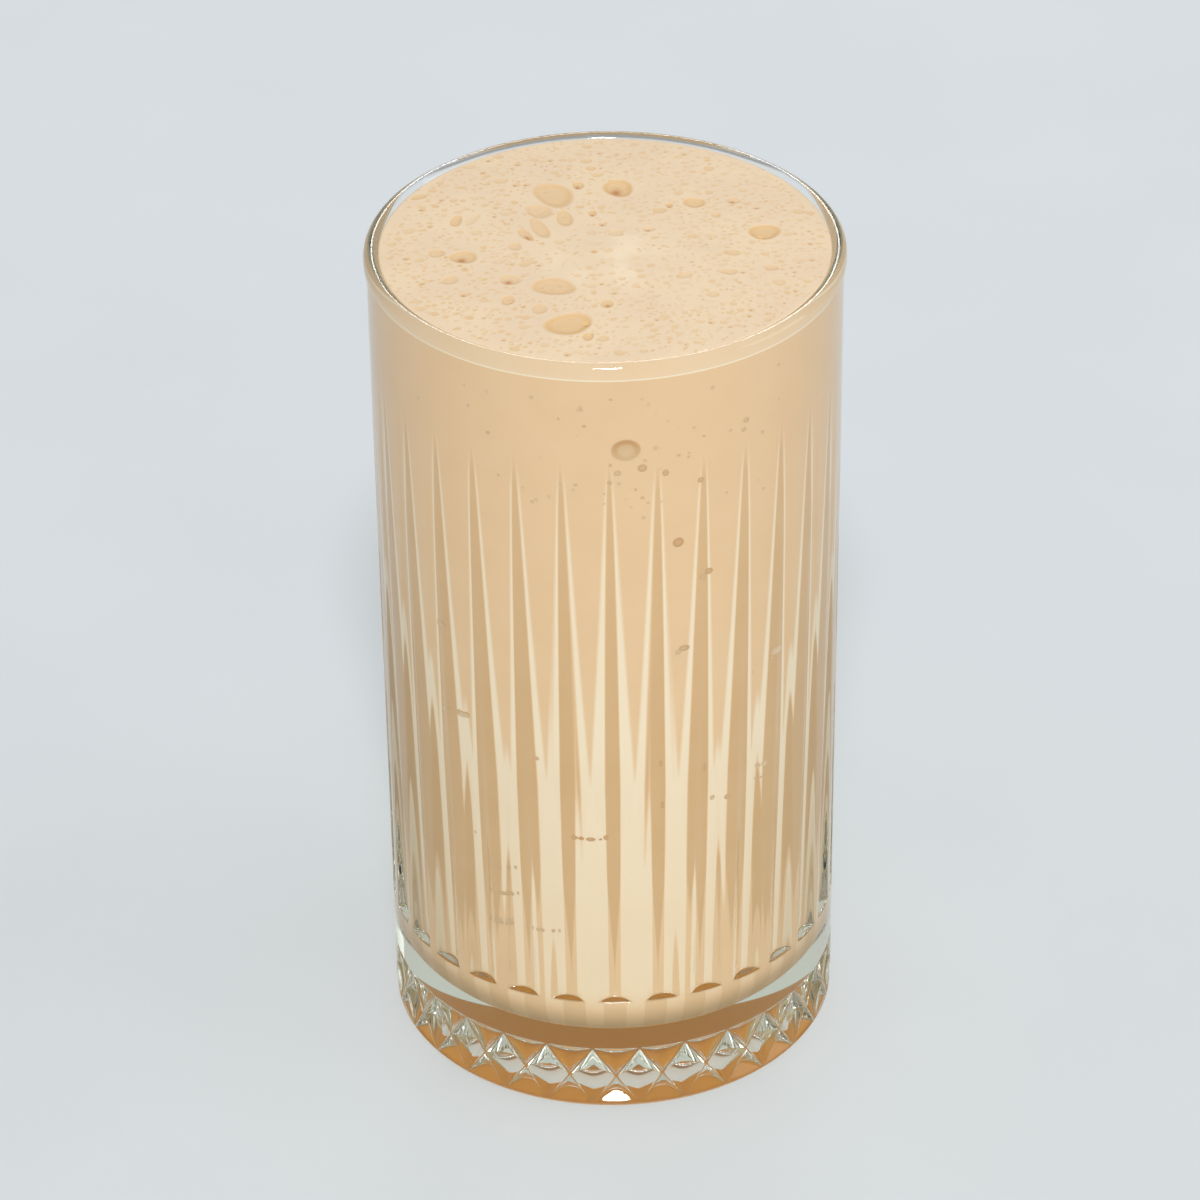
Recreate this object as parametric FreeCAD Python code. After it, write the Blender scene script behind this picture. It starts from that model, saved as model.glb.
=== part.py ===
import FreeCAD, Part

import math
import os

from FreeCAD import Vector

# A brim-full banana smoothie in its pressed-glass highball.
# Millimetres, +Z up, origin at the middle of the foot on the table plane.
# The cut pattern repeats round the axis once for each flute.

# Outside of the glass
GLASS_HEIGHT = 148.0
RIM_RADIUS = 38.95
FOOT_RADIUS = 37.95
LIP_BEAD_PROUD = 0.25
LIP_BEAD_HEIGHT = 2.5
FOOT_EDGE_ROUNDING = 2.2

# Underside: a flat ring to stand on, with a round-shouldered hollow inside it
STANDING_RING_WIDTH = 5.0
UNDERSIDE_HOLLOW_DEPTH = 2.5
UNDERSIDE_SHOULDER_WIDTH = 8.0

# Thickness of the glass
WALL_AT_LIP = 2.6
WALL_AT_MIDDLE = 4.9
WALL_ABOVE_FLOOR = 7.7
FLOOR_THICKNESS = 12.6
FLOOR_CORNER_RADIUS = 8.5

# Lancet flutes pressed into the outside wall
FLUTE_COUNT = 30
FLUTE_RADIUS = 3.6
FLUTE_TIP_BELOW_RIM = 17.0
FLUTE_LEDGE_HEIGHT = 23.0
FLUTE_MIDDLE_DEPTH = 0.50
FLUTE_LEDGE_DEPTH = 1.40
FLUTE_LEDGE_RISE = 0.30
FRONT_FLUTE_ANGLE = -90.0

# Band of hollow diamonds round the foot, with flat ridges left between them
DIAMOND_TOP_HEIGHT = 13.2
DIAMOND_BOTTOM_HEIGHT = 1.6
DIAMOND_DEPTH = 2.0
TOE_SCOOP_DEPTH = 3.0
DIAMOND_RIDGE_SHARE = 0.03
TOE_LEDGE_RISE = 1.0
CAP_LEDGE_DROP = 1.35
SCOOP_TIP_RADIUS = 0.15

# The drink
FROTH_EDGE_BELOW_RIM = 0.55
FROTH_CROWN = 0.45

# Room given to cutting shapes beyond what they cut
CUT_CLEARANCE = 6.0
FACE_CLEARANCE = 0.5

# Sections a flute is drawn through
FLUTE_SECTIONS = 8

# Where a diamond's scoop starts and ends, as shares of its length
SCOOP_START = -0.015
SCOOP_OVERRUN = 1.25

# How closely neighbouring pitches meet
SEAM_TOLERANCE = 1e-6

AXIS = Vector(0, 0, 1)
CENTRE = Vector(0, 0, 0)
LIP_HALF_WALL = WALL_AT_LIP / 2
BEAD_RADIUS = RIM_RADIUS + LIP_BEAD_PROUD
FLUTE_TIP_HEIGHT = GLASS_HEIGHT - FLUTE_TIP_BELOW_RIM
FLUTE_PITCH = 360.0 / FLUTE_COUNT
DIAMOND_MIDDLE_HEIGHT = (DIAMOND_TOP_HEIGHT + DIAMOND_BOTTOM_HEIGHT) / 2
DIAMOND_HALF_HEIGHT = (DIAMOND_TOP_HEIGHT - DIAMOND_BOTTOM_HEIGHT) / 2


def outer_radius(height):
    """Radius of the plain tapering wall at a height."""
    return FOOT_RADIUS + (RIM_RADIUS - FOOT_RADIUS) * height / GLASS_HEIGHT


def section_point(radius, height):
    """Point of the upright half section."""
    return Vector(radius, 0, height)


def polar_point(radius, angle, height):
    """Point at a radius, an angle in degrees and a height."""
    turn = math.radians(angle)
    return Vector(radius * math.cos(turn), radius * math.sin(turn), height)


def line(first, last):
    """Straight edge between two points."""
    return Part.makeLine(first, last)


def arc(first, middle, last):
    """Circular edge through three points."""
    return Part.Arc(first, middle, last).toShape()


def round_arc(centre, radius, start, end):
    """Circular edge of the half section between two angles in degrees."""
    points = []
    for angle in (start, (start + end) / 2, end):
        turn = math.radians(angle)
        points.append(centre + Vector(radius * math.cos(turn), 0, radius * math.sin(turn)))
    return arc(*points)


def circle_through(first, middle, last):
    """Centre and radius of the half-section circle through three points."""
    circle = Part.Arc(first, middle, last).toShape().Curve
    return circle.Center, circle.Radius


def revolved_sector(edges):
    """One pitch of a solid of revolution, centred on angle zero."""
    face = Part.Face(Part.Wire(edges))
    sector = face.revolve(CENTRE, AXIS, FLUTE_PITCH)
    sector.rotate(CENTRE, AXIS, -FLUTE_PITCH / 2)
    return sector


def on_sector_side(face):
    """Whether a face lies in one of the two planes where a sector meets the next."""
    if not isinstance(face.Surface, Part.Plane):
        return False
    normal = face.normalAt(0, 0)
    through_axis = abs(normal.dot(face.CenterOfMass)) < SEAM_TOLERANCE
    return through_axis and abs(normal.z) < SEAM_TOLERANCE


def repeated_round(sector):
    """Whole solid made of one sector's outside, repeated at every pitch round the axis."""
    skin = [face for face in sector.Faces if not on_sector_side(face)]
    faces = []
    for index in range(FLUTE_COUNT):
        for face in skin:
            copy = face.copy()
            copy.rotate(CENTRE, AXIS, FRONT_FLUTE_ANGLE + index * FLUTE_PITCH)
            faces.append(copy)
    shell = Part.makeShell(faces)
    shell.sewShape()
    return Part.makeSolid(shell)


def cavity_edges():
    """Section edges of the inner wall from the lip down to the middle of the floor."""
    lip_foot = section_point(BEAD_RADIUS - WALL_AT_LIP, GLASS_HEIGHT - LIP_HALF_WALL)
    middle_height = GLASS_HEIGHT / 2
    middle = section_point(outer_radius(middle_height) - WALL_AT_MIDDLE, middle_height)
    low_height = FLOOR_THICKNESS + FLOOR_CORNER_RADIUS
    low = section_point(outer_radius(low_height) - WALL_ABOVE_FLOOR, low_height)
    wall_centre, wall_radius = circle_through(lip_foot, middle, low)
    side = 1.0 if wall_centre.x < middle.x else -1.0
    reach = wall_radius - side * FLOOR_CORNER_RADIUS
    rise = low_height - wall_centre.z
    corner_x = wall_centre.x + side * math.sqrt(reach**2 - rise**2)
    corner = section_point(corner_x, low_height)
    tangent = wall_centre + (corner - wall_centre) * (wall_radius / reach)
    tangent_angle = math.degrees(math.atan2(tangent.z - corner.z, tangent.x - corner.x))
    floor_edge = section_point(corner_x, FLOOR_THICKNESS)
    floor_middle = section_point(0, FLOOR_THICKNESS)
    return [
        arc(lip_foot, middle, tangent),
        round_arc(corner, FLOOR_CORNER_RADIUS, tangent_angle, -90),
        line(floor_edge, floor_middle),
    ]


def lip_centre():
    """Centre of the round that tops the wall."""
    return section_point(BEAD_RADIUS - LIP_HALF_WALL, GLASS_HEIGHT - LIP_HALF_WALL)


def froth_edge_angle():
    """Angle on the lip round at which the froth meets the glass."""
    rise = LIP_HALF_WALL - FROTH_EDGE_BELOW_RIM
    return 180.0 - math.degrees(math.asin(rise / LIP_HALF_WALL))


def lip_edges():
    """Section edges of the lip round, from the outer wall over to the inner wall."""
    meet = froth_edge_angle()
    return [
        round_arc(lip_centre(), LIP_HALF_WALL, 0, meet),
        round_arc(lip_centre(), LIP_HALF_WALL, meet, 180),
    ]


def outside_edges():
    """Section edges from the middle of the underside out and up to the lip."""
    edge_x = outer_radius(0) - FOOT_EDGE_ROUNDING
    ring_x = edge_x - STANDING_RING_WIDTH
    hollow_middle = section_point(0, UNDERSIDE_HOLLOW_DEPTH)
    ring_inner = section_point(ring_x, 0)
    depth = UNDERSIDE_HOLLOW_DEPTH
    shoulder_radius = (UNDERSIDE_SHOULDER_WIDTH**2 + depth**2) / (2 * depth)
    shoulder_centre = section_point(ring_x - UNDERSIDE_SHOULDER_WIDTH, depth - shoulder_radius)
    shoulder_high = section_point(ring_x - UNDERSIDE_SHOULDER_WIDTH, depth)
    shoulder_end = math.degrees(math.acos(UNDERSIDE_SHOULDER_WIDTH / shoulder_radius))
    ring_outer = section_point(edge_x, 0)
    rounding_centre = section_point(edge_x, FOOT_EDGE_ROUNDING)
    rounding_top = section_point(outer_radius(0), FOOT_EDGE_ROUNDING)
    bead_low_height = GLASS_HEIGHT - LIP_BEAD_HEIGHT
    bead_low = section_point(outer_radius(bead_low_height), bead_low_height)
    bead_high = section_point(BEAD_RADIUS, GLASS_HEIGHT - LIP_HALF_WALL)
    return [
        line(hollow_middle, shoulder_high),
        round_arc(shoulder_centre, shoulder_radius, 90, shoulder_end),
        line(ring_inner, ring_outer),
        round_arc(rounding_centre, FOOT_EDGE_ROUNDING, -90, 0),
        line(rounding_top, bead_low),
        line(bead_low, bead_high),
    ]


def plain_sector():
    """One pitch of the glass before its pattern, with a flute's middle at angle zero."""
    hollow_middle = section_point(0, UNDERSIDE_HOLLOW_DEPTH)
    floor_middle = section_point(0, FLOOR_THICKNESS)
    section = outside_edges() + lip_edges() + cavity_edges() + [line(floor_middle, hollow_middle)]
    return revolved_sector(section)


def smoothie():
    """The drink: it fills the cavity and crowns a little above the lip."""
    meet = froth_edge_angle()
    turn = math.radians(meet)
    edge = lip_centre() + Vector(LIP_HALF_WALL * math.cos(turn), 0, LIP_HALF_WALL * math.sin(turn))
    crown = section_point(0, GLASS_HEIGHT + FROTH_CROWN)
    crown_half = section_point(edge.x / 2, edge.z + (crown.z - edge.z) * 0.75)
    section = [arc(crown, crown_half, edge)]
    section += [round_arc(lip_centre(), LIP_HALF_WALL, meet, 180)]
    section += cavity_edges()
    section += [line(section_point(0, FLOOR_THICKNESS), crown)]
    return repeated_round(revolved_sector(section))


def cutting_room(low, rise, high, drop, depth):
    """Ring round the wall that cutting shapes may reach into.

    Args:
        low: Height at which its lower end meets the wall.
        rise: How much that end climbs inwards, for each millimetre of depth.
        high: Height at which its upper end meets the wall.
        drop: How much that end falls inwards, for each millimetre of depth.
        depth: How far it reaches into the wall.
    """
    outer_x = RIM_RADIUS + FACE_CLEARANCE
    low_reach = outer_x - outer_radius(low)
    high_reach = outer_x - outer_radius(high)
    points = [
        section_point(outer_radius(low) - depth, low + rise * depth),
        section_point(outer_x, low - rise * low_reach),
        section_point(outer_x, high + drop * high_reach),
        section_point(outer_radius(high) - depth, high - drop * depth),
    ]
    ring = Part.Face(Part.makePolygon(points + [points[0]])).revolve(CENTRE, AXIS, 3 * FLUTE_PITCH)
    ring.rotate(CENTRE, AXIS, -1.5 * FLUTE_PITCH)
    return ring


def flute_depth(height):
    """Depth of a flute below the plain wall; negative above its tip."""
    run = FLUTE_TIP_HEIGHT - FLUTE_LEDGE_HEIGHT
    share = (FLUTE_TIP_HEIGHT - height) / run
    bend = 2 * (FLUTE_LEDGE_DEPTH - 2 * FLUTE_MIDDLE_DEPTH)
    return (FLUTE_LEDGE_DEPTH - bend) * share + bend * share**2


def flute_cutter():
    """Cutting shape of one lancet flute, lying in the half section at angle zero.

    Its round nose leaves the wall at the flute's tip and lies deepest at the
    ledge, so the flute widens from a point downwards.
    """
    low = FLUTE_LEDGE_HEIGHT - FACE_CLEARANCE
    top = FLUTE_TIP_HEIGHT + CUT_CLEARANCE
    hoops = []
    for index in range(FLUTE_SECTIONS + 1):
        height = low + (top - low) * index / FLUTE_SECTIONS
        nose_x = outer_radius(height) - flute_depth(height) + FLUTE_RADIUS
        centre = section_point(nose_x, height)
        left = Part.makeCircle(FLUTE_RADIUS, centre, AXIS, 0, 180)
        right = Part.makeCircle(FLUTE_RADIUS, centre, AXIS, 180, 360)
        hoops.append(Part.Wire([left, right]))
    flute = Part.makeLoft(hoops, True, False)
    return flute.common(cutting_room(FLUTE_LEDGE_HEIGHT, FLUTE_LEDGE_RISE, top, 0, 2 * FLUTE_LEDGE_DEPTH))


def scoop_hoop(height, share, depth):
    """Level round of a scoop, in the half section at angle zero.

    At a share of one it reaches its full depth, and crosses the plain wall
    where the ridges beside it begin; at nought it only touches the wall.
    """
    wall = outer_radius(height)
    half_angle = math.radians(FLUTE_PITCH / 2 * (1 - DIAMOND_RIDGE_SHARE))
    across = wall * math.sin(half_angle)
    inward = depth - wall * (1 - math.cos(half_angle))
    full_radius = (across**2 + inward**2) / (2 * inward)
    radius = SCOOP_TIP_RADIUS + (full_radius - SCOOP_TIP_RADIUS) * share
    centre = section_point(wall - depth * share + radius, height)
    left = Part.makeCircle(radius, centre, AXIS, 0, 180)
    right = Part.makeCircle(radius, centre, AXIS, 180, 360)
    return Part.Wire([left, right])


def scoop(hoops, angle):
    """Cutting shape through a run of hoops, turned to an angle about the axis."""
    solid = Part.makeLoft(hoops, True, True)
    solid.rotate(CENTRE, AXIS, angle)
    return solid


def whole_diamond(angle):
    """Hollow diamond between two flutes, deepest along its level middle line."""
    reach = DIAMOND_HALF_HEIGHT * (1 - DIAMOND_RIDGE_SHARE) * (1 - SCOOP_START)
    hoops = [
        scoop_hoop(DIAMOND_MIDDLE_HEIGHT + reach, SCOOP_START, DIAMOND_DEPTH),
        scoop_hoop(DIAMOND_MIDDLE_HEIGHT, 1, DIAMOND_DEPTH),
        scoop_hoop(DIAMOND_MIDDLE_HEIGHT - reach, SCOOP_START, DIAMOND_DEPTH),
    ]
    return scoop(hoops, angle)


def half_diamond(way, depth):
    """Hollow half diamond under a flute, widening upwards (way 1) or downwards (way -1)."""
    hoops = []
    for share in (SCOOP_START, SCOOP_OVERRUN):
        rise = DIAMOND_HALF_HEIGHT * (DIAMOND_RIDGE_SHARE + share * (1 - DIAMOND_RIDGE_SHARE))
        hoops.append(scoop_hoop(DIAMOND_MIDDLE_HEIGHT + way * rise, share, depth))
    return scoop(hoops, 0)


def diamond_cutters():
    """Cutting shapes of the diamonds that touch one pitch."""
    scoops = [
        whole_diamond(-FLUTE_PITCH / 2),
        whole_diamond(FLUTE_PITCH / 2),
        half_diamond(1, DIAMOND_DEPTH),
        half_diamond(-1, TOE_SCOOP_DEPTH),
    ]
    depth = TOE_SCOOP_DEPTH + FACE_CLEARANCE / 2
    room = cutting_room(DIAMOND_BOTTOM_HEIGHT, TOE_LEDGE_RISE, DIAMOND_TOP_HEIGHT, CAP_LEDGE_DROP, depth)
    return [solid.common(room) for solid in scoops]


def glass():
    """The pressed glass, worked out for one pitch and repeated round the axis."""
    return repeated_round(plain_sector().cut([flute_cutter()] + diamond_cutters()))


def main():
    """Build both nodes and write them out."""
    os.makedirs("parts", exist_ok=True)
    nodes = {"glass": glass(), "smoothie": smoothie()}
    for name, shape in nodes.items():
        solid = shape.Solids[0] if len(shape.Solids) == 1 else shape
        solid.exportStep("parts/" + name + ".step")
        box = solid.BoundBox
        print(
            name,
            "valid", solid.isValid(),
            "solids", len(shape.Solids),
            "faces", len(shape.Faces),
            "volume", round(solid.Volume, 1),
            "box", [round(v, 3) for v in (box.XMin, box.YMin, box.ZMin, box.XMax, box.YMax, box.ZMax)],
        )


main()
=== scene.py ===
"""A brim-full banana smoothie in its pressed-glass highball, dressed for a studio view."""

import logging
import math
import random
from dataclasses import dataclass, field
from enum import Enum

import bpy
import numpy as np
from mathutils import Matrix, Vector


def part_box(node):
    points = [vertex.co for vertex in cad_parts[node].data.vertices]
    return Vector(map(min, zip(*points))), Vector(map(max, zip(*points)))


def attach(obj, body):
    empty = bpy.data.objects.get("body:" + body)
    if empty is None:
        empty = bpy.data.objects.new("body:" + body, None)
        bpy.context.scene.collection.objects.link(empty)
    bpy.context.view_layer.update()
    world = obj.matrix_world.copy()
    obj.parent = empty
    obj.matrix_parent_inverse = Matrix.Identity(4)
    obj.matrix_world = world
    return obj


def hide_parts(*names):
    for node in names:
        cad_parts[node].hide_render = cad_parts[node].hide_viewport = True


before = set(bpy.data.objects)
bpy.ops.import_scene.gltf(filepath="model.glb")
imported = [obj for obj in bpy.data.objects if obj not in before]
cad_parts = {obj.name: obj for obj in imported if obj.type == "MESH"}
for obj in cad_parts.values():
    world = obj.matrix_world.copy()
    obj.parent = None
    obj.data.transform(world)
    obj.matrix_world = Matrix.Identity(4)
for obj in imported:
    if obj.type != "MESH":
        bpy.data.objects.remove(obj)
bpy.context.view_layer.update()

log = logging.getLogger("banana_smoothie")

MM = 0.001
ROOT_BODY = "root"
FLOOR_SINK = 0.8 * MM


class Slot(Enum):
    """The record's material slots."""

    GLASS = "clear_glass"
    SMOOTHIE = "banana_smoothie"


# ---------------------------------------------------------------------------
# Mesh making
# ---------------------------------------------------------------------------


@dataclass
class RingSkin:
    """A skin built from rings of points round the Z axis, each joined to the next.

    Rings are added along a path that keeps the solid on its left when it
    climbs the outside, so every face looks outwards.
    """

    points: list = field(default_factory=list)
    faces: list = field(default_factory=list)
    marks: list = field(default_factory=list)
    size: int = 0

    def ring(
        self, angles: np.ndarray, radii: np.ndarray, heights: np.ndarray, **marks: np.ndarray
    ) -> np.ndarray:
        """Adds one ring of points.

        Args:
            angles: Angle of each point round the axis, in radians.
            radii: Distance of each point from the axis, or one for all.
            heights: Height of each point, or one for all.
            marks: Named numbers for the finish to read, one a point or one for all.

        Returns:
            The numbers of the new points.
        """
        radii = np.broadcast_to(radii, angles.shape)
        heights = np.broadcast_to(heights, angles.shape)
        self.points.append(np.column_stack([radii * np.cos(angles), radii * np.sin(angles), heights]))
        numbers = np.arange(self.size, self.size + len(angles))
        self.size += len(angles)
        self.marks.append((numbers, marks))
        return numbers

    def tip(self, height: float, **marks: float) -> int:
        """Adds one point on the axis.

        Args:
            height: Its height.
            marks: Named numbers for the finish to read.

        Returns:
            The number of the new point.
        """
        self.points.append(np.array([[0.0, 0.0, height]]))
        self.size += 1
        self.marks.append((np.array([self.size - 1]), marks))
        return self.size - 1

    def join(self, before: np.ndarray, after: np.ndarray) -> None:
        """Joins two rings, the second with as many points, or half or twice as many.

        Args:
            before: The ring that comes first along the path.
            after: The ring that comes next.
        """
        if len(before) == len(after):
            quads = np.column_stack([before, np.roll(before, -1), np.roll(after, -1), after])
            self.faces.extend(quads.tolist())
        elif len(before) == 2 * len(after):
            start, middle, end = before[::2], before[1::2], np.roll(before, -2)[::2]
            fives = np.column_stack([start, middle, end, np.roll(after, -1), after])
            self.faces.extend(fives.tolist())
        else:
            start, middle, end = after[::2], after[1::2], np.roll(after, -2)[::2]
            fives = np.column_stack([before, np.roll(before, -1), end, middle, start])
            self.faces.extend(fives.tolist())

    def open_from_tip(self, tip: int, after: np.ndarray) -> None:
        """Fans from an axis point out to the first ring."""
        self.faces.extend(np.column_stack([np.full(len(after), tip), np.roll(after, -1), after]).tolist())

    def close_to_tip(self, before: np.ndarray, tip: int) -> None:
        """Fans from the last ring in to an axis point."""
        self.faces.extend(np.column_stack([before, np.roll(before, -1), np.full(len(before), tip)]).tolist())

    def coordinates(self) -> np.ndarray:
        """All points so far, one row each."""
        return np.concatenate(self.points)

    def piece(self, name: str) -> bpy.types.Object:
        """Makes the skin into a smooth-shaded mesh object.

        Args:
            name: Name of the new piece.

        Returns:
            The new object, linked to the scene.
        """
        mesh = bpy.data.meshes.new(name)
        mesh.from_pydata(self.coordinates().tolist(), [], self.faces)
        mesh.shade_smooth()
        for mark in sorted({key for _, marks in self.marks for key in marks}):
            values = np.zeros(self.size, dtype=np.float32)
            for numbers, marks in self.marks:
                values[numbers] = marks.get(mark, 0.0)
            mesh.attributes.new(mark, "FLOAT", "POINT").data.foreach_set("value", values)
        piece = bpy.data.objects.new(name, mesh)
        bpy.context.scene.collection.objects.link(piece)
        return piece


def finish_piece(piece: bpy.types.Object, slot: Slot, material: bpy.types.Material, *nodes: str) -> None:
    """Dresses a piece and sets it on the body in place of its CAD nodes.

    Args:
        piece: The piece.
        slot: The record's material slot. Not used.
        material: The finish.
        nodes: CAD nodes that the piece stands for.
    """
    piece.data.materials.append(material)
    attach(piece, ROOT_BODY)
    if nodes:
        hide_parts(*nodes)
    log.info("%s: %d points, %d faces", piece.name, len(piece.data.vertices), len(piece.data.polygons))


# ---------------------------------------------------------------------------
# The shape shared by the glass and the drink
# ---------------------------------------------------------------------------


@dataclass
class TumblerForm:
    """Sizes of the pressed glass, from which every surface is worked out."""

    height: float
    rim_radius: float = 38.90 * MM
    foot_radius: float = 37.95 * MM
    bead_proud: float = 0.40 * MM
    bead_height: float = 2.5 * MM
    wall_at_lip: float = 2.6 * MM
    wall_at_middle: float = 4.9 * MM
    wall_above_floor: float = 7.7 * MM
    floor: float = 12.6 * MM
    floor_corner: float = 7.5 * MM
    foot_edge: float = 2.2 * MM
    ring_width: float = 5.0 * MM
    hollow_depth: float = 2.5 * MM
    hollow_shoulder: float = 8.0 * MM

    @property
    def lip_half(self) -> float:
        """Radius of the round that tops the wall."""
        return self.wall_at_lip / 2

    @property
    def bead_radius(self) -> float:
        """Outer radius at the lip's bead."""
        return self.rim_radius + self.bead_proud

    def outer(self, height: np.ndarray) -> np.ndarray:
        """Radius of the plain tapering wall at a height."""
        return self.foot_radius + (self.rim_radius - self.foot_radius) * height / self.height

    def wall_arc(self) -> tuple[float, float, float]:
        """Circle that the upright section of the inner wall follows.

        Returns:
            Radius and height of its centre, and its radius.
        """
        top = (self.bead_radius - self.wall_at_lip, self.height - self.lip_half)
        middle = (self.outer(self.height / 2) - self.wall_at_middle, self.height / 2)
        low_height = self.floor + self.floor_corner
        low = (self.outer(low_height) - self.wall_above_floor, low_height)
        return circle_through(top, middle, low)

    def cavity(self, wall_rows: int, corner_rows: int, proud: float = 0.0) -> list[tuple[float, float]]:
        """Section of the inner wall from the lip's round down to the floor's edge.

        Args:
            wall_rows: Steps down the wall.
            corner_rows: Steps round the floor's corner.
            proud: How far the section stands out into the glass.

        Returns:
            Radius and height of each point.
        """
        centre_r, centre_z, radius = self.wall_arc()
        corner_z = self.floor + self.floor_corner
        reach = radius - self.floor_corner
        corner_r = centre_r + math.sqrt(reach**2 - (corner_z - centre_z) ** 2)
        low_turn = math.atan2(corner_z - centre_z, corner_r - centre_r)
        high_turn = math.asin((self.height - self.lip_half - centre_z) / radius)
        section = []
        swept = radius + proud
        for turn in np.linspace(high_turn, low_turn, wall_rows + 1):
            section.append((centre_r + swept * math.cos(turn), centre_z + swept * math.sin(turn)))
        grown = self.floor_corner + proud
        for turn in np.linspace(low_turn, -math.pi / 2, corner_rows + 1)[1:]:
            section.append((corner_r + grown * math.cos(turn), corner_z + grown * math.sin(turn)))
        return section


def circle_through(
    first: tuple[float, float], second: tuple[float, float], third: tuple[float, float]
) -> tuple[float, float, float]:
    """Circle through three points of a plane.

    Args:
        first: A point.
        second: A second point.
        third: A third point.

    Returns:
        The two coordinates of the centre, and the radius.
    """
    (ax, ay), (bx, by), (cx, cy) = first, second, third
    twice_area = 2 * (ax * (by - cy) + bx * (cy - ay) + cx * (ay - by))
    a2, b2, c2 = ax**2 + ay**2, bx**2 + by**2, cx**2 + cy**2
    x = (a2 * (by - cy) + b2 * (cy - ay) + c2 * (ay - by)) / twice_area
    y = (a2 * (cx - bx) + b2 * (ax - cx) + c2 * (bx - ax)) / twice_area
    return x, y, math.hypot(ax - x, ay - y)


def smooth_greater(first: np.ndarray, second: np.ndarray, blend: np.ndarray) -> np.ndarray:
    """Greater of two values, rounded over where they are within a blend of each other."""
    share = np.clip(blend - np.abs(first - second), 0, None) / blend
    return np.maximum(first, second) + share**2 * blend / 4


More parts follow.
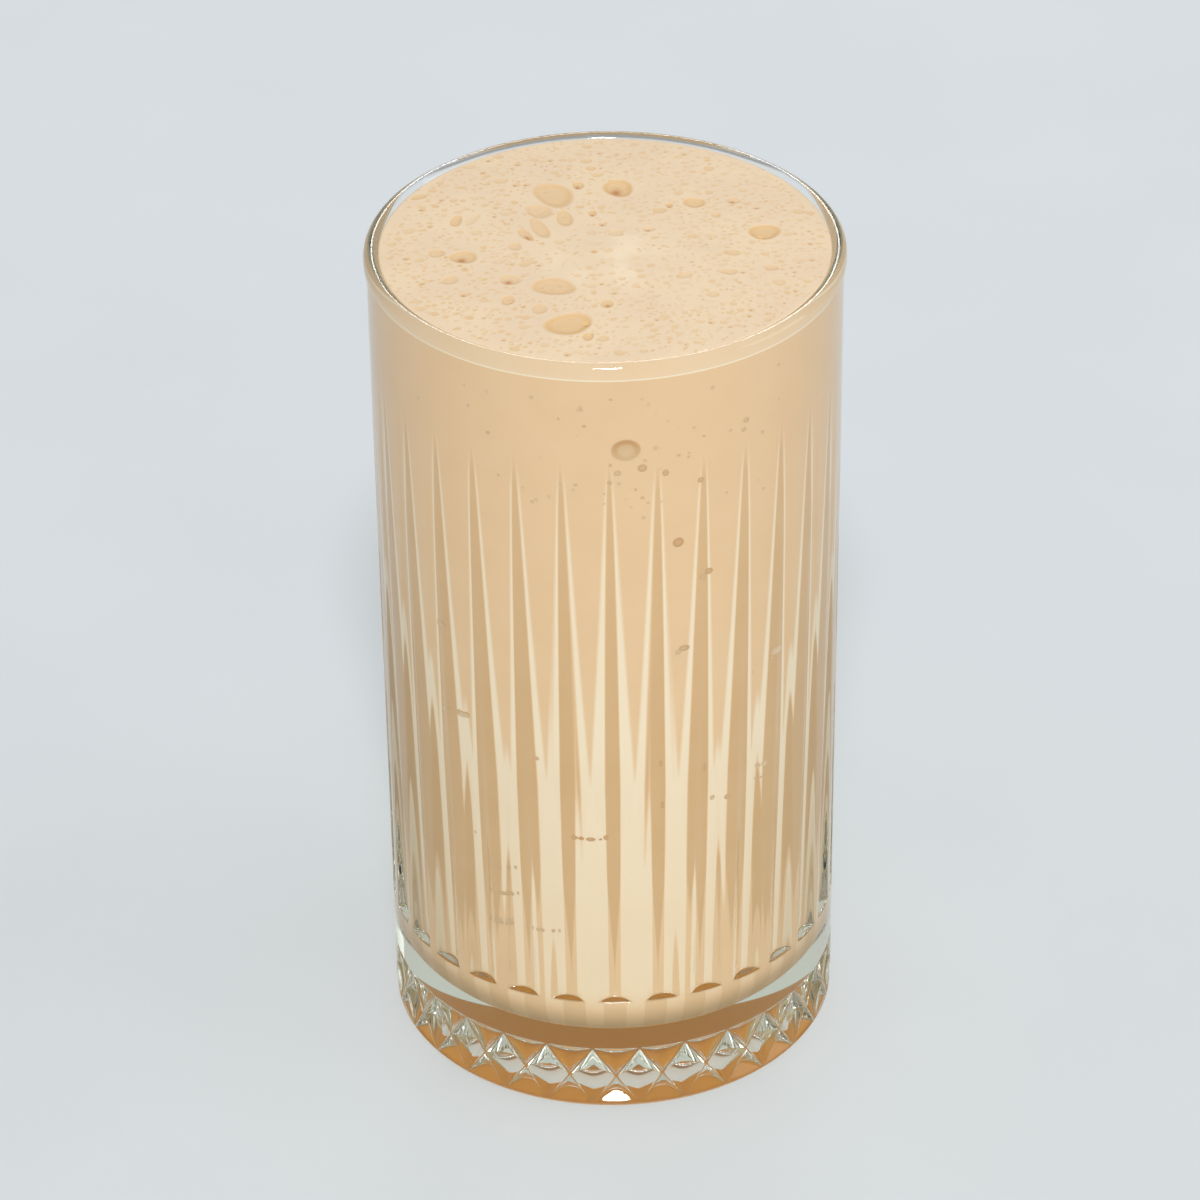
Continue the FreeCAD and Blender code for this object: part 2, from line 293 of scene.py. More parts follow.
@dataclass
class CutPattern:
    """The lancet flutes and the band of diamonds pressed round the outside."""

    count: int = 30
    flute_radius: float = 3.6 * MM
    tip_below_rim: float = 17.0 * MM
    ledge_height: float = 23.0 * MM
    middle_depth: float = 0.50 * MM
    ledge_depth: float = 1.40 * MM
    ledge_rise: float = 0.30
    edge_rounding: float = 0.62 * MM
    diamond_top: float = 13.2 * MM
    diamond_bottom: float = 1.6 * MM
    diamond_relief: float = 2.0 * MM
    toe_relief: float = 3.0 * MM
    ridge_half: float = 0.03
    toe_bevel: float = 1.0
    cap_bevel: float = 0.75
    band_rounding: float = 0.08 * MM
    tangent_share: float = 0.92
    least_rounding: float = 0.1 * MM
    rounding_by_depth: float = 0.45
    front: float = -math.pi / 2

    @property
    def half_pitch(self) -> float:
        """Angle from the middle of a flute to the middle of the land beside it."""
        return math.pi / self.count

    @property
    def diamond_middle(self) -> float:
        """Height of the diamonds' peaks."""
        return (self.diamond_top + self.diamond_bottom) / 2

    @property
    def diamond_half(self) -> float:
        """Half the height of the diamond band."""
        return (self.diamond_top - self.diamond_bottom) / 2

    def steps(self) -> np.ndarray:
        """Columns of one half pitch as shares of it, closer together at a flute's edge."""
        return np.array([0, 0.1, 0.2, 0.3, 0.4, 0.48, 0.55, 0.62, 0.69, 0.76, 0.83, 0.90, 0.95, 1.0])

    def ridge_steps(self, height: float) -> np.ndarray:
        """Columns of one half pitch in the diamond band, two of them on the ridge.

        Args:
            height: A height of the band.

        Returns:
            The columns as shares of the half pitch.
        """
        rise = abs(height - self.diamond_middle) / self.diamond_half
        ridge = min(max(rise, 2 * self.ridge_half), 1 - 2 * self.ridge_half)
        before = np.array([0, 0.3, 0.55, 0.75, 0.88, 0.96, 1.0]) * (ridge - self.ridge_half)
        after = 1 - (1 - ridge - self.ridge_half) * np.array([1.0, 0.96, 0.88, 0.72, 0.5, 0.25, 0.0])
        return np.concatenate([before, after])

    def columns(self, steps: np.ndarray) -> tuple[np.ndarray, np.ndarray]:
        """Columns all round the glass.

        Args:
            steps: Columns of one half pitch as shares of it, from 0 to 1.

        Returns:
            The angle of each column, and its distance from the nearest flute's
            middle as a share of the half pitch.
        """
        rising = steps[:-1]
        falling = steps[:0:-1]
        shares = np.concatenate([rising, falling])
        turns = np.concatenate([rising, 2 - falling])
        angles = [self.front + (2 * index + turns) * self.half_pitch for index in range(self.count)]
        return np.concatenate(angles), np.tile(shares, self.count)

    def flute_depth(self, height: float, form: TumblerForm) -> float:
        """Depth of a flute's middle below the plain wall.

        Args:
            height: The height.
            form: The glass.

        Returns:
            The depth, which is negative above the flute's tip.
        """
        tip = form.height - self.tip_below_rim
        share = (tip - height) / (tip - self.ledge_height)
        bend = 2 * (self.ledge_depth - 2 * self.middle_depth)
        return (self.ledge_depth - bend) * share + bend * share**2

    def flute_cut(self, shares: np.ndarray, height: float, form: TumblerForm) -> np.ndarray:
        """How deep the flutes lie below the plain wall at a height.

        Args:
            shares: Distance of each column from the flute's middle.
            height: The height.
            form: The glass.

        Returns:
            The depth at each column, with the flute's edges rounded over.
        """
        across = shares * self.half_pitch * form.outer(height)
        near = np.minimum(across, self.tangent_share * self.flute_radius)
        below = np.sqrt(self.flute_radius**2 - near**2)
        rise = self.flute_radius - below + near**2 / (2 * form.outer(height))
        slope = near / below
        depth = self.flute_depth(height, form)
        groove = depth - rise - (across - near) * slope
        blend = min(self.edge_rounding, self.least_rounding + self.rounding_by_depth * max(depth, 0.0))
        return smooth_greater(groove, np.zeros_like(groove), np.full_like(groove, blend))

    def diamond_cut(self, shares: np.ndarray, height: float) -> np.ndarray:
        """How deep the hollow diamonds lie below the plain wall at a height.

        Args:
            shares: Distance of each column from the flute's middle.
            height: The height.

        Returns:
            The depth at each column, limited by the ledges above and below.
        """
        rise = abs(height - self.diamond_middle) / self.diamond_half
        whole = max(1 - rise - self.ridge_half, 1e-6)
        part = max(rise - self.ridge_half, 1e-6)
        in_whole = self.diamond_relief * whole * (1 - ((1 - shares) / whole) ** 2)
        relief = self.toe_relief if height < self.diamond_middle else self.diamond_relief
        in_part = relief * part * (1 - (shares / part) ** 2)
        cut = np.maximum(np.maximum(in_whole, in_part), 0)
        room = self.toe_bevel * (height - self.diamond_bottom)
        cap = self.cap_bevel * (self.diamond_top - height)
        limit = np.full_like(cut, max(min(room, cap), 0))
        return np.maximum(-smooth_greater(-cut, -limit, np.full_like(cut, self.band_rounding)), 0)


# ---------------------------------------------------------------------------
# The glass
# ---------------------------------------------------------------------------


@dataclass
class PressedGlass:
    """The highball: fluted wall, ledge, plain band, diamond foot, rounded lip and cavity."""

    form: TumblerForm
    pattern: CutPattern
    flute_rows: int = 40
    wall_rows: int = 22

    def build(self) -> bpy.types.Object:
        """Makes the whole glass as one closed skin.

        Returns:
            The glass piece.
        """
        skin = RingSkin()
        angles, shares = self.pattern.columns(self.pattern.steps())
        coarse = angles[::2]
        last = self.underside(skin, coarse)
        for turned, radii, height in self.foot_rows():
            ring = skin.ring(turned, radii, height)
            skin.join(last, ring)
            last = ring
        for radii, height in self.outside_rows(shares):
            ring = skin.ring(angles, radii, height)
            skin.join(last, ring)
            last = ring
        for radius, height in self.inside_rows():
            ring = skin.ring(coarse, radius, height)
            skin.join(last, ring)
            last = ring
        skin.close_to_tip(last, skin.tip(self.form.floor))
        return skin.piece("glass_tumbler")

    def underside(self, skin: RingSkin, angles: np.ndarray) -> np.ndarray:
        """Makes the shallow hollow and the standing ring.

        Args:
            skin: The skin to add to.
            angles: The columns used here.

        Returns:
            The outermost ring made.
        """
        form = self.form
        ring_outer = form.foot_radius - form.foot_edge
        ring_inner = ring_outer - form.ring_width
        flat = ring_inner - form.hollow_shoulder
        bow = (form.hollow_shoulder**2 + form.hollow_depth**2) / (2 * form.hollow_depth)
        rows = [(flat * share, form.hollow_depth) for share in (0.15, 0.45, 0.75, 0.95)]
        for share in np.linspace(0, 1, 17):
            reach = form.hollow_shoulder * share
            rows.append((flat + reach, form.hollow_depth - bow + math.sqrt(bow**2 - reach**2)))
        last = None
        tip = skin.tip(form.hollow_depth)
        for radius, height in rows:
            ring = skin.ring(angles, radius, max(height, 0.0))
            if last is None:
                skin.open_from_tip(tip, ring)
            else:
                skin.join(last, ring)
            last = ring
        for radius in (ring_inner + 0.1 * MM, ring_outer):
            ring = skin.ring(angles, radius, 0.0)
            skin.join(last, ring)
            last = ring
        return last

    def outside_rows(self, shares: np.ndarray) -> list[tuple[np.ndarray, float]]:
        """Rows of the outside, from the foot's edge to the crest of the lip.

        Args:
            shares: Distance of each column from the flute's middle.

        Returns:
            The radii and the height of each row.
        """
        rows = []
        rows += self.ledge_rows(shares)
        rows += self.flute_rows_up(shares)
        rows += self.lip_rows(shares)
        return rows

    def foot_rows(self) -> list[tuple[np.ndarray, np.ndarray, float]]:
        """Rows of the rounded toe and of the diamond band above it.

        Returns:
            The angles, the radii and the height of each row.
        """
        form, pattern = self.form, self.pattern
        half = pattern.diamond_half
        low = np.array([
            0.0, 0.03, 0.06, 0.1, 0.14, 0.18, 0.22, 0.26, 0.31, 0.38, 0.46, 0.56, 0.67, 0.78, 0.88, 0.95, 0.99
        ])
        high = np.array([
            0.01, 0.05, 0.12, 0.22, 0.34, 0.46, 0.56, 0.64, 0.70, 0.75, 0.80, 0.85, 0.90, 0.94, 0.98
        ])
        heights = [form.foot_edge * (1 - math.cos(turn)) for turn in np.radians([12, 25, 38, 50, 60, 68])]
        heights = [height for height in heights if height < pattern.diamond_bottom]
        heights += list(pattern.diamond_bottom + half * low)
        heights += [pattern.diamond_middle]
        heights += list(pattern.diamond_middle + half * high)
        heights += [pattern.diamond_top]
        rows = []
        for height in heights:
            angles, shares = pattern.columns(pattern.ridge_steps(height))
            share = 1 - min(height / form.foot_edge, 1.0)
            radius = form.outer(height) - form.foot_edge * (1 - math.sqrt(1 - share**2))
            rows.append((angles, radius - pattern.diamond_cut(shares, height), height))
        return rows

    def ledge_rows(self, shares: np.ndarray) -> list[tuple[np.ndarray, float]]:
        """Rows of the plain band and of the scooped ledges that end the flutes.

        Args:
            shares: Distance of each column from the flute's middle.

        Returns:
            The radii and the height of each row.
        """
        form, pattern = self.form, self.pattern
        rows = []
        for rise in (0.15, 0.4):
            height = pattern.diamond_top + rise * MM
            rows.append((np.full_like(shares, form.outer(height)), height))
        for share in (0.3, 0.65, 0.95):
            height = pattern.diamond_top + share * (pattern.ledge_height - pattern.diamond_top)
            rows.append((np.full_like(shares, form.outer(height)), height))
        cut = pattern.flute_cut(shares, pattern.ledge_height, form)
        ledge = ((-0.22, 0.0), (-0.10, 0.05), (-0.03, 0.22), (0.02, 0.5), (0.05, 0.78), (0.10, 0.93))
        for rise, share in ledge:
            heights = pattern.ledge_height + rise * MM + pattern.ledge_rise * share * cut
            rows.append((form.outer(heights) - share * cut, heights))
        return rows

    def flute_rows_up(self, shares: np.ndarray) -> list[tuple[np.ndarray, float]]:
        """Rows of the fluted wall, from just above the ledge to above the tips.

        Args:
            shares: Distance of each column from the flute's middle.

        Returns:
            The radii and the height of each row.
        """
        form, pattern = self.form, self.pattern
        low = pattern.ledge_height + 0.7 * MM
        high = form.height - pattern.tip_below_rim + 4 * MM
        rows = []
        for height in np.linspace(low, high, self.flute_rows):
            rows.append((form.outer(height) - pattern.flute_cut(shares, height, form), height))
        return rows

    def lip_rows(self, shares: np.ndarray) -> list[tuple[np.ndarray, float]]:
        """Rows of the plain neck, the bead and the outer half of the lip's round.

        Args:
            shares: Distance of each column from the flute's middle.

        Returns:
            The radii and the height of each row.
        """
        form = self.form
        rows = []
        bead_low = form.height - form.bead_height
        for height in (bead_low - 6 * MM, bead_low - 0.5 * MM, bead_low - 0.1 * MM):
            rows.append((np.full_like(shares, form.outer(height)), height))
        for share in (0.06, 0.16, 0.30, 0.55, 0.85):
            height = bead_low + share * (form.bead_height - form.lip_half)
            proud = form.bead_proud * math.sin(min(share / 0.30, 1.0) * math.pi / 2)
            rows.append((np.full_like(shares, form.outer(height) + proud), height))
        for turn in np.radians([0, 15, 30, 45, 60, 75, 90]):
            radius = form.bead_radius - form.lip_half * (1 - math.cos(turn))
            rows.append((np.full_like(shares, radius), form.height - form.lip_half * (1 - math.sin(turn))))
        return rows

    def inside_rows(self) -> list[tuple[float, float]]:
        """Rings from the lip's crest down the cavity to its floor.

        Returns:
            The radius and the height of each ring.
        """
        form = self.form
        rows = []
        for turn in np.radians([105, 120, 135, 150, 165]):
            radius = form.bead_radius - form.lip_half * (1 - math.cos(turn))
            rows.append((radius, form.height - form.lip_half * (1 - math.sin(turn))))
        rows += form.cavity(self.wall_rows, 10)
        floor_edge = rows[-1][0]
        rows += [(floor_edge * share, form.floor) for share in (0.7, 0.4, 0.15)]
        return rows


# ---------------------------------------------------------------------------
# The drink
# ---------------------------------------------------------------------------


@dataclass(frozen=True)
class Bubble:
    """One shallow oval bubble opened in the froth.

    x and y are its place from the middle of the froth, y away from the
    viewer, and across and along its half sizes, all in millimetres; a flagged one gets a painted dark spot of
    shade for a hole.
    """

    x: float
    y: float
    across: float
    along: float
    turn: float = 0.0
    warmth: float = 0.5
    depth: float = 0.20
    shaded_hole: bool = False

    def row(self) -> tuple[float, ...]:
        """The bubble as a row of plain numbers.

        Returns:
            Place, half sizes, cosine and sine of the turn, warmth, depth and whether it has a painted hole
            shade.
        """
        turn = math.radians(self.turn)
        return (self.x, self.y, self.across, self.along, math.cos(turn), math.sin(turn),
                self.warmth, self.depth, float(self.shaded_hole))


# Places and sizes were worked out by a scratch script from ones read by eye.
LARGE_BUBBLES = (
    Bubble(-8.3, 16.2, 3.3, 4.4, 20, 0.75, 0.45),
    Bubble(-4.2, 19.3, 0.9, 1.5, 0, 0.90, 0.30, True),
    Bubble(-6.5, 7.9, 1.4, 2.8, 12, 0.70, 0.30),
    Bubble(-10.7, 10.6, 1.9, 2.9, 35, 0.55, 0.30),
    Bubble(-10.6, 4.8, 1.2, 4.0, 18, 0.65, 0.30),
    Bubble(-12.9, 2.7, 0.9, 2.3, 30, 0.75, 0.30, True),
    Bubble(-14.6, -1.0, 1.2, 1.3, 0, 0.60, 0.25),
    Bubble(-24.2, 8.3, 0.9, 2.1, -8, 0.85, 0.35),
    Bubble(-21.6, 8.6, 1.0, 2.2, -30, 0.30, 0.15),
    Bubble(-22.9, -3.9, 2.2, 2.1, 0, 0.80, 0.35, True),
    Bubble(-27.3, -2.2, 1.5, 1.3, 0, 0.65, 0.25),
    Bubble(-25.0, -11.0, 1.4, 1.4, 0, 0.60, 0.25),
    Bubble(-15.4, -11.7, 1.8, 1.6, 0, 0.60, 0.30, True),
    Bubble(-15.7, -18.0, 1.1, 1.5, -20, 0.80, 0.30),
    Bubble(-8.4, -14.2, 3.9, 2.5, -8, 0.75, 0.35),
    Bubble(-6.1, -25.6, 3.9, 3.2, 5, 0.95, 0.45),
    Bubble(-3.2, -25.6, 0.7, 0.9, 0, 1.00, 0.40, True),
    Bubble(-10.7, -21.0, 1.2, 1.6, 0, 0.60, 0.20),
    Bubble(-3.0, -29.4, 0.9, 1.2, -30, 0.95, 0.30),
    Bubble(0.1, -19.8, 1.1, 1.2, 30, 0.80, 0.25, True),
    Bubble(2.4, 18.2, 2.4, 3.3, 0, 0.95, 0.50, True),
    Bubble(14.8, 12.9, 1.8, 1.8, 0, 0.90, 0.35),
    Bubble(10.7, 12.0, 0.6, 0.9, 0, 0.90, 0.30, True),
    Bubble(26.0, 3.2, 2.6, 2.6, 8, 1.00, 0.40),
    Bubble(25.2, 1.4, 0.6, 0.7, 0, 1.00, 0.40, True),
    Bubble(21.2, 13.7, 1.1, 1.1, 0, 0.65, 0.25, True),
    Bubble(18.3, 8.7, 0.8, 0.9, 0, 0.70, 0.25),
    Bubble(-1.9, 9.4, 0.7, 1.0, 0, 1.00, 0.35, True),
    Bubble(-0.3, 5.9, 0.7, 1.0, 0, 0.45, 0.25, True),
    Bubble(1.8, 2.8, 1.2, 1.3, 20, 0.35, 0.25),
    Bubble(7.2, 3.9, 1.0, 0.9, 0, 0.55, 0.30, True),
    Bubble(12.6, -11.0, 1.5, 1.0, 14, 0.45, 0.20),
    Bubble(19.9, -9.9, 1.4, 1.0, 0, 0.65, 0.20),
    Bubble(26.7, -8.5, 1.1, 1.0, 0, 0.65, 0.20),
    Bubble(17.0, -16.9, 1.2, 0.9, 0, 0.50, 0.18),
)


@dataclass
class Froth:
    """The bubbly top of the drink: open bubbles, fine pits and a slight swell."""

    radius: float
    bubble_count: int = 1500
    shaded_hole_share: float = 0.10
    smallest: float = 0.22
    largest: float = 1.15
    size_fall: float = 4.6
    edge_gap: float = 1.2
    spacing: float = 1.05
    calm_place: tuple = (2.0, -3.0)
    calm_reach: float = 17.0
    calm_share: float = 0.16
    seed: int = 29

    def bubbles(self) -> np.ndarray:
        """All bubbles, the large ones as listed and the fine ones strewn at random.

        Returns:
            One row a bubble: x, y, half sizes, cosine and sine of its turn,
            warmth, depth and painted hole shade.
        """
        rows = [bubble.row() for bubble in LARGE_BUBBLES]
        dice = random.Random(self.seed)
        limit = self.radius / MM - self.edge_gap
        taken = [(b.x, b.y, max(b.across, b.along)) for b in LARGE_BUBBLES]
        calm_x, calm_y = self.calm_place
        while len(rows) < self.bubble_count:
            reach = limit * math.sqrt(dice.random())
            place = dice.uniform(-math.pi, math.pi)
            x, y = reach * math.cos(place), reach * math.sin(place)
            away = min(math.hypot(x - calm_x, y - calm_y) / self.calm_reach, 1.0)
            crowd = self.calm_share + (1 - self.calm_share) * away**2
            if dice.random() > crowd:
                continue
            size = min(self.smallest + dice.expovariate(self.size_fall), self.largest)
            if any(math.hypot(x - tx, y - ty) < self.spacing * (size + ts) for tx, ty, ts in taken):
                continue
            taken.append((x, y, size))
            turn = dice.uniform(-0.4, 0.4)
            warmth = dice.uniform(0.25, 0.80) * (1.1 if x < 0 else 0.9)
            across = size * dice.uniform(0.95, 1.25)
            along = size * dice.uniform(0.75, 1.05)
            shaded_hole = float(dice.random() < self.shaded_hole_share)
            depth = 0.03 + 0.05 * size
            rows.append((x, y, across, along, math.cos(turn), math.sin(turn), warmth, depth, shaded_hole))
        return np.array(rows)

    def relief(
        self, x: np.ndarray, y: np.ndarray, rows: np.ndarray
    ) -> tuple[np.ndarray, np.ndarray, np.ndarray]:
        """Lift, warmth with painted shade, and painted hole shade of the froth at some places.

        Args:
            x: Places across, in metres.
            y: Places away from the viewer, in metres.
            rows: The bubbles.

        Returns:
            The lift in metres, the warmth, partly the bubbles' own colour and partly painted shade at their
            edges and on one side, and the painted shade of the holes.
        """
        far_x = x[:, None] / MM - rows[None, :, 0]
        far_y = y[:, None] / MM - rows[None, :, 1]
        along_x = (far_x * rows[:, 4] + far_y * rows[:, 5]) / rows[:, 2]
        along_y = (far_y * rows[:, 4] - far_x * rows[:, 5]) / rows[:, 3]
        turn = np.arctan2(along_y, along_x)
        wobble = 1 + 0.07 * np.sin(2 * turn + rows[:, 0]) + 0.05 * np.sin(3 * turn + rows[:, 1] * 2)
        apart = np.hypot(along_x, along_y) / wobble
        bowl = np.clip(1 - apart**2, 0, 1)
        dish = 0.6 * rows[:, 7] * np.minimum(bowl * 1.5, 1)
        rim = 0.02 * np.exp(-(((apart - 1.12) / 0.13) ** 2)) * np.minimum(rows[:, 2] / 1.0, 1.0)
        lift = (rim - dish).sum(axis=1) * MM
        inside = np.clip((1.06 - apart) / 0.22, 0, 1)
        # Partly the bubble's own warmer colour, partly painted shade: stronger towards its edge and on one
        # side.
        edge = 0.70 + 0.35 * np.clip((apart - 0.55) / 0.35, 0, 1) - 0.12 * along_y
        warm = np.clip((rows[:, 6] * inside * edge).max(axis=1), 0, 1)
        # Painted shade: a dark spot beside the middle of a flagged bubble, where a hole would be.
        hole_x, hole_y = along_x + 0.15, along_y + 0.40
        pips = (rows[:, 8] * np.exp(-((np.hypot(hole_x, hole_y) / 0.34) ** 2))).max(axis=1)
        return lift, warm, pips


@dataclass
class FluteLight:
    """Painted light: bands of light and shade painted into the drink's side colour, for how the grooves of
    the wall spread the light from in front over the drink.

    Each groove acts as a hollow lens. Behind its middle the light is thin, and
    beside it, where the spread light falls on top of the straight light, the
    drink is brighter.
    """

    form: TumblerForm
    pattern: CutPattern
    refraction: float = 1.51
    slant: float = 1.25
    fall: float = 2.0 * MM
    fade: float = 6.0 * MM
    steepest: float = 0.80
    widest_thin: float = 3.4
    below_ledge: float = 0.75
    softer_from: float = 75.0 * MM
    softer_over: float = 45.0 * MM
    softer_by: float = 0.35

    def at(self, height: float, inner: float) -> dict[str, float]:
        """Marks for the painted light bands on the drink's side at a height.

        Args:
            height: The height.
            inner: Radius of the drink there.

        Returns:
            Half angles of the thin and of the spread light, in degrees, how much
            the light is thinned, and how far the flutes count at this height.
        """
        form, pattern = self.form, self.pattern
        lit = max(height + self.fall, pattern.ledge_height)
        depth = max(pattern.flute_depth(lit, form), 0.0)
        outer = float(form.outer(lit))
        wall = outer - inner
        bow = 1 / (1 / pattern.flute_radius + 1 / outer)
        half = max(math.sqrt(2 * bow * depth), 1e-9)
        slope = min(half / pattern.flute_radius, self.steepest)
        bend = math.asin(slope) - math.asin(slope / self.refraction)
        spread = half + self.slant * wall * math.tan(bend)
        straight = half * (1 - (1 - 1 / self.refraction) * wall / outer)
        tip = form.height - pattern.tip_below_rim - self.fall
        started = min(max((tip - height) / self.fade, 0.0), 1.0)
        ended = min(max((pattern.ledge_height - 1 * MM - height) / self.fade, 0.0), 1.0)
        low = min(max((self.softer_from - height) / self.softer_over, 0.0), 1.0)
        return {
            "thin_half": min(math.degrees(straight / inner), self.widest_thin),
            "spread_half": math.degrees(spread / inner),
            "thinned": half / spread,
            "cut": started * (1 - self.below_ledge * ended) * (1 - self.softer_by * low),
        }


@dataclass
class Smoothie:
    """The drink: it fills the cavity, pressed against the glass, and froths to the brim."""

    form: TumblerForm
    light: FluteLight
    crown: float
    edge_below_rim: float = 0.55 * MM
    into_wall: float = 0.10 * MM
    columns: int = 960
    fewest_columns: int = 64
    closest_points: float = 0.13 * MM
    ring_step: float = 0.25 * MM
    middle_radius: float = 0.8 * MM

    def build(self) -> bpy.types.Object:
        """Makes the drink as one closed skin, from the floor up its side and over the froth.

        Returns:
            The drink piece.
        """
        form = self.form
        skin = RingSkin()
        angles = np.linspace(0, 2 * math.pi, self.columns, endpoint=False)
        section = form.cavity(76, 14, self.into_wall)[::-1]
        tip = skin.tip(form.floor - self.into_wall)
        last = None
        for radius, height in [(section[0][0] * share, section[0][1]) for share in (0.3, 0.7)] + section:
            ring = skin.ring(angles, radius, height, **self.light.at(height, radius))
            if last is None:
                skin.open_from_tip(tip, ring)
            else:
                skin.join(last, ring)
            last = ring
        rim = section[-1][0]
        edge = form.height - self.edge_below_rim
        froth = Froth(rim)
        bubbles = froth.bubbles()
        for radius, height in ((rim + 0.02 * MM, edge - 0.35 * MM), (rim, edge - 0.1 * MM)):
            ring = skin.ring(angles, radius, height)
            skin.join(last, ring)
            last = ring
        start = rim - 0.15 * MM
        radius = start
        while radius > self.middle_radius:
            apart = radius * (angles[1] - angles[0])
            if len(angles) > self.fewest_columns and apart < self.closest_points:
                angles = angles[::2]
            lift, warm, pips = froth.relief(radius * np.cos(angles), radius * np.sin(angles), bubbles)
            fade = min((start - radius) / (1.0 * MM), 1.0)
            height = edge + (self.crown - edge) * (1 - (radius / start) ** 2) + lift * fade
            ring = skin.ring(angles, radius, height, froth=1.0, warm=warm * fade, pips=pips * fade)
            skin.join(last, ring)
            last = ring
            radius -= self.ring_step
        skin.close_to_tip(last, skin.tip(self.crown, froth=1.0))
        return skin.piece("smoothie_drink")


@dataclass(frozen=True)
class Dimple:
    """One air bubble caught between the drink and the glass.

    turn is its angle from the front in degrees, height its height, and
    across and tall its half sizes, in millimetres.
    """

    turn: float
    height: float
    across: float
    tall: float
    dark: float = 0.6
    hollow: bool = False


# Places and sizes were worked out by a scratch script from ones read by eye.
WALL_BUBBLES = (
    Dimple(4.2, 131.4, 2.3, 1.96, 1.0, True),
    Dimple(8.2, 127.8, 0.74, 0.69, 0.7),
    Dimple(2.1, 127.1, 0.57, 0.49, 0.5),
    Dimple(17.4, 112.7, 0.9, 0.88, 0.9),
    Dimple(25.9, 105.8, 0.9, 0.59, 0.8),
    Dimple(23.9, 105.0, 0.57, 0.49, 0.6),
    Dimple(19.2, 91.8, 0.9, 0.59, 0.7),
    Dimple(17.6, 91.2, 0.49, 0.49, 0.5),
    Dimple(-49.3, 90.5, 0.98, 0.78, 0.5),
    Dimple(-49.0, 73.7, 0.74, 0.69, 0.8, True),
    Dimple(-43.8, 74.3, 0.98, 0.59, 0.7, True),
    Dimple(-9.3, 54.5, 0.74, 0.49, 0.9),
    Dimple(-6.2, 54.4, 0.74, 0.39, 0.9),
    Dimple(-3.4, 54.7, 0.66, 0.49, 0.9),
    Dimple(13.2, 69.2, 0.41, 0.59, 0.9),
    Dimple(25.4, 66.6, 0.41, 0.78, 0.9),
    Dimple(14.0, 60.6, 0.49, 0.69, 0.9),
    Dimple(29.6, 59.8, 0.66, 0.49, 0.7, True),
    Dimple(32.7, 59.3, 0.57, 0.49, 0.7),
    Dimple(45.3, 62.8, 0.66, 0.59, 0.5, True),
    Dimple(48.1, 84.7, 1.15, 0.78, 0.5, True),
    Dimple(49.9, 61.9, 0.49, 0.59, 0.5),
    Dimple(-36.8, 44.7, 0.49, 0.39, 0.6),
    Dimple(-33.4, 45.4, 0.49, 0.39, 0.6),
    Dimple(-30.2, 45.8, 0.49, 0.39, 0.5),
    Dimple(-36.7, 38.9, 0.49, 0.39, 0.5),
    Dimple(-33.0, 39.9, 0.66, 0.39, 0.6),
    Dimple(-29.5, 40.4, 0.41, 0.39, 0.5),
    Dimple(-34.2, 33.5, 0.74, 0.39, 0.5),
    Dimple(-23.2, 34.2, 0.41, 0.39, 0.5),
    Dimple(-20.8, 34.1, 0.41, 0.39, 0.5),
    Dimple(-18.1, 34.2, 0.41, 0.39, 0.5),
    Dimple(23.2, 123.8, 0.49, 0.49, 0.7),
    Dimple(0.1, 125.3, 0.41, 0.39, 0.6),
    Dimple(14.1, 126.4, 0.49, 0.59, 0.7),
    Dimple(35.9, 132.6, 0.57, 0.49, 0.5),
    Dimple(35.3, 130.9, 0.49, 0.39, 0.5),
)


